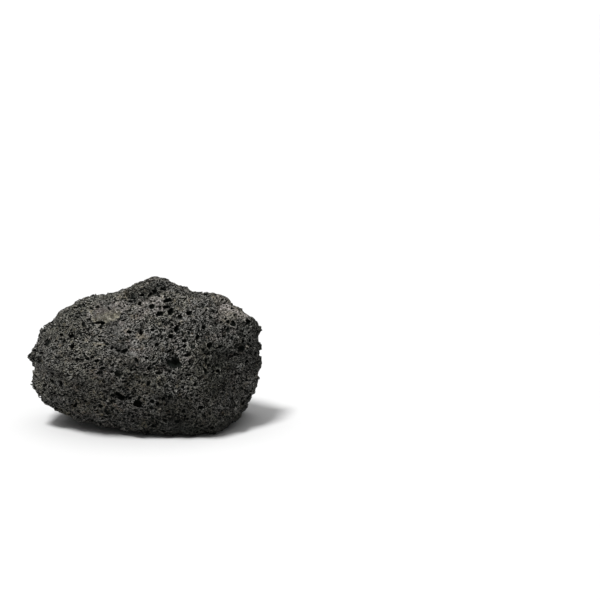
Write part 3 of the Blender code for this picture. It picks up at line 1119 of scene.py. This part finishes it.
def store_wear_and_painted_light(piece, skin_tree):
    """Stores on each vertex what the finish reads: pits for painted shade, rims for wear and a painted
    highlight, dust, stains, the scar and its lip's painted highlight, and painted shade in patches and at
    the foot.
    """
    mesh = piece.data
    places = coordinates(mesh)
    depth, rise, bend = skin_depth_rise_and_bend(mesh, skin_tree)
    # Where shade is painted in the pits.
    pit = eased(depth, *PIT_DEPTHS)
    store(mesh, "pit", pit)
    # Where more shade is painted, deep in the pits.
    store(mesh, "deep", eased(depth, *DEEP_DEPTHS))
    # Where the rims get wear and a painted highlight.
    store(mesh, "rim_wear_and_highlight", eased(bend, *RIM_BENDS) * (1.0 - pit))
    store(mesh, "dust", eased(rise, *DUST_RISES) * (1.0 - pit))
    along, up, far = scar_frame(places)
    # Where the highlight along the scar's lower lip is painted.
    lip = eased(far, 0.80, 0.90) * (1.0 - eased(far, 0.97, 1.03)) * eased(-up, 0.1, 0.5)
    store(mesh, "scar", (1.0 - eased(far, 0.93, 1.03)) * (1.0 - 0.8 * pit))
    store(mesh, "scar_low", eased(along - 1.2 * up, -0.9, 0.9))
    store(mesh, "scar_lip_highlight", lip)
    store(mesh, "tan", patches(places, skin_tree, TAN_PATCHES) * (1.0 - 0.8 * pit))
    store(mesh, "pale", patches(places, skin_tree, PALE_PATCHES) * (1.0 - 0.8 * pit))
    # Where shade is painted in patches.
    store(mesh, "painted_shade", patches(places, skin_tree, PAINTED_SHADE_PATCHES))
    store(mesh, "right", eased(past_lean_line(places[:, 0], places[:, 2]), -0.012, 0.008))
    # Where shade is painted at the foot: darker towards the floor, more so towards the right.
    shaded = 0.4 + 0.6 * eased(places[:, 0], -0.040, 0.010)
    store(mesh, "foot", (1.0 - eased(places[:, 2], 0.0, FOOT_SHADE_HEIGHT)) * shaded)


def place_camera(settings):
    """Adds the camera, which looks down at the rock from the front, and makes it the scene's own."""
    camera = bpy.data.cameras.new("camera")
    camera.lens = settings.lens
    camera.sensor_width = SENSOR_WIDTH
    holder = linked_object("camera", camera)
    rise = settings.camera_rise
    up = Vector((0.0, math.sin(rise), math.cos(rise)))
    ahead = Vector((0.0, math.cos(rise), -math.sin(rise)))
    target = Vector((settings.aim_right, 0.0, settings.core_height)) + up * settings.aim_up
    holder.location = target - ahead * settings.view_width * settings.lens / camera.sensor_width
    holder.rotation_mode = "QUATERNION"
    holder.rotation_quaternion = ahead.to_track_quat("-Z", "Y")
    bpy.context.scene.camera = holder


def lay_floor(settings):
    """Adds the plain pale floor."""
    deselect_all()
    bpy.ops.mesh.primitive_plane_add(size=FLOOR_WIDTH)
    floor = bpy.context.object
    floor.name = "floor"
    paint = bpy.data.materials.new("floor")
    paint.use_nodes = True
    shader = paint.node_tree.nodes["Principled BSDF"]
    shader.inputs["Base Color"].default_value = opaque((settings.floor_tone,) * 3)
    shader.inputs["Roughness"].default_value = 0.9
    floor.data.materials.append(paint)


def light_studio(settings):
    """Adds the light from all round, the white backdrop and the soft lights."""
    world = bpy.data.worlds.new("studio")
    world.use_nodes = True
    tree = world.node_tree
    background = tree.nodes["Background"]
    background.inputs["Color"].default_value = (1.0, 1.0, 1.0, 1.0)
    seen = add_node(tree, "LightPath").outputs["Is Camera Ray"]
    backdrop = maths(tree, "MULTIPLY", seen, settings.backdrop)
    tree.links.new(maths(tree, "ADD", backdrop, settings.room_light), background.inputs["Strength"])
    bpy.context.scene.world = world
    for name, (place, energy, spread) in LIGHTS.items():
        light = bpy.data.lights.new(name, "SUN")
        light.energy = energy
        light.angle = math.radians(spread)
        lamp = linked_object(name, light)
        lamp.location = place
        lamp.rotation_mode = "QUATERNION"
        lamp.rotation_quaternion = (-lamp.location).to_track_quat("-Z", "Y")


class ROCK_OT_model_surface(bpy.types.Operator):
    """Models the rock's pitted surface over its solid"""

    bl_idname = "lava_rock.model_surface"
    bl_label = "Model the rock"

    def execute(self, context):
        settings = context.scene.rock_settings
        dice = random.Random(settings.seed)
        piece = copied_node(NODE, PIECE)
        apply_modifier(piece, "REMESH", mode="VOXEL", voxel_size=settings.skin_step, adaptivity=0.0)
        apply_modifier(piece, "SMOOTH", factor=0.5, iterations=14)
        raise_forms(piece)
        crumble(piece, settings)
        fit_to_solid(piece)
        press_scar(piece)
        apply_modifier(piece, "TRIANGULATE")
        tree = surface_tree(piece.data)
        bubbles = hole_bubbles(tree, dice)
        bubbles += pore_bubbles(piece.data, tree, settings, dice, bubbles)
        cut_bubbles(piece, bubbles, dice)
        apply_modifier(piece, "TRIANGULATE")
        drop_bits(piece)
        drop_flaps(piece)
        faces = len(piece.data.polygons)
        if faces > settings.most_faces:
            apply_modifier(piece, "DECIMATE", ratio=settings.most_faces / faces)
        drop_bits(piece)
        drop_flaps(piece)
        faces = len(piece.data.polygons)
        if not LEAST_FACES < faces < MOST_FACES:
            raise RuntimeError("the rock's surface came out with %d faces" % faces)
        fit_to_solid(piece)
        select_only(piece)
        bpy.ops.object.shade_smooth_by_angle(angle=math.radians(SMOOTH_ANGLE))
        store_wear_and_painted_light(piece, tree)
        piece.data.materials.clear()
        piece.data.materials.append(stone_material(settings))
        for polygon in piece.data.polygons:
            polygon.material_index = 0
        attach(piece, "root")
        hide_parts("lava_rock")
        return {"FINISHED"}


class ROCK_OT_set_stage(bpy.types.Operator):
    """Sets the floor, the lights and the camera"""

    bl_idname = "lava_rock.set_stage"
    bl_label = "Set the stage"

    def execute(self, context):
        settings = context.scene.stage_settings
        place_camera(settings)
        lay_floor(settings)
        light_studio(settings)
        context.scene.view_settings.view_transform = "Standard"
        if context.scene.camera is None or context.scene.world is None:
            raise RuntimeError("the stage has no camera or no light")
        return {"FINISHED"}


class ROCK_PT_panel(bpy.types.Panel):
    """The rock's operators and settings, in the sidebar."""

    bl_label = "Lava rock"
    bl_idname = "ROCK_PT_panel"
    bl_space_type = "VIEW_3D"
    bl_region_type = "UI"
    bl_category = "Lava rock"

    def draw(self, context):
        for operator, settings in (
            (ROCK_OT_model_surface, context.scene.rock_settings),
            (ROCK_OT_set_stage, context.scene.stage_settings),
        ):
            self.layout.operator(operator.bl_idname)
            for name in type(settings).__annotations__:
                self.layout.prop(settings, name)


CLASSES = (RockSettings, StageSettings, ROCK_OT_model_surface, ROCK_OT_set_stage, ROCK_PT_panel)


def register():
    for each in CLASSES:
        bpy.utils.register_class(each)
    bpy.types.Scene.rock_settings = bpy.props.PointerProperty(type=RockSettings)
    bpy.types.Scene.stage_settings = bpy.props.PointerProperty(type=StageSettings)


def unregister():
    del bpy.types.Scene.stage_settings
    del bpy.types.Scene.rock_settings
    for each in reversed(CLASSES):
        bpy.utils.unregister_class(each)


def main():
    register()
    bpy.ops.lava_rock.model_surface()
    bpy.ops.lava_rock.set_stage()


if __name__ == "__main__":
    main()
